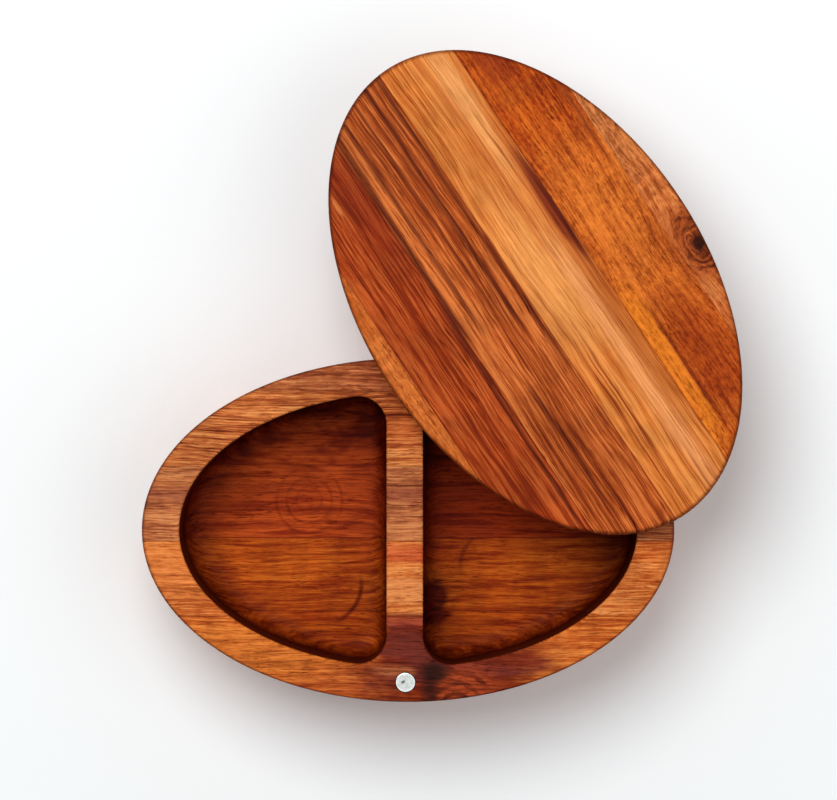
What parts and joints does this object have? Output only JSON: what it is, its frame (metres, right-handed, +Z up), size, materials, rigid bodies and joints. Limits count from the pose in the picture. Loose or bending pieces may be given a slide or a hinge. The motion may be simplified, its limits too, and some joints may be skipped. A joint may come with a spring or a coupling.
{
  "type": "wooden spice box with swivel lid",
  "caption": "Oval wooden spice box with divided compartments and a flat lid that swivels on a pin at the back and is held shut by magnets.",
  "frame": {"origin": "centre of the oval underside of the base, in the plane of the surface it stands on", "axes": "+X along the length of the base and its grain, +Y to the back, where the pivot is, +Z up"},
  "size_m": [0.1798, 0.1952, 0.0545],
  "materials": {
    "base_wood_front": "oiled acacia, red-brown with a dark patch and a swirl beside the magnet",
    "base_wood_tan": "oiled acacia, light tan to orange",
    "base_wood_mid": "oiled acacia, grey-brown to orange",
    "base_wood_light": "oiled acacia, light tan",
    "base_wood_back": "oiled acacia, red-brown",
    "lid_wood_knot": "oiled acacia, pinkish brown with a knot",
    "lid_wood_orange": "oiled acacia, orange-red",
    "lid_wood_golden": "oiled acacia, golden tan with a dark streak",
    "lid_wood_dark": "oiled acacia, brown with dark streaks",
    "lid_wood_red": "oiled acacia, red-brown and streaky",
    "lid_wood_edge": "oiled acacia, light orange",
    "pin_steel": "turned steel",
    "washer_nylon": "natural nylon",
    "bush_brass": "turned brass",
    "magnet_nickel": "nickel-plated disc, lightly scuffed"
  },
  "bodies": {
    "base": {"base_stave_1": "base_wood_front", "base_stave_2": "base_wood_tan", "base_stave_3": "base_wood_mid", "base_stave_4": "base_wood_light", "base_stave_5": "base_wood_back", "pivot_pin": "pin_steel", "pivot_washer": "washer_nylon", "base_magnet": "magnet_nickel"},
    "lid": {"lid_stave_1": "lid_wood_knot", "lid_stave_2": "lid_wood_orange", "lid_stave_3": "lid_wood_golden", "lid_stave_4": "lid_wood_dark", "lid_stave_5": "lid_wood_red", "lid_stave_6": "lid_wood_edge", "pivot_bush": "bush_brass", "lid_magnet": "magnet_nickel"}
  },
  "joints": [
    {"name": "lid_swivel", "type": "hinge", "parent": "base", "child": "lid", "pos_m": [0, 0.04575, 0.0455], "axis": [0, 0, 1], "range_deg": [-123.8, 236.2]}
  ]
}
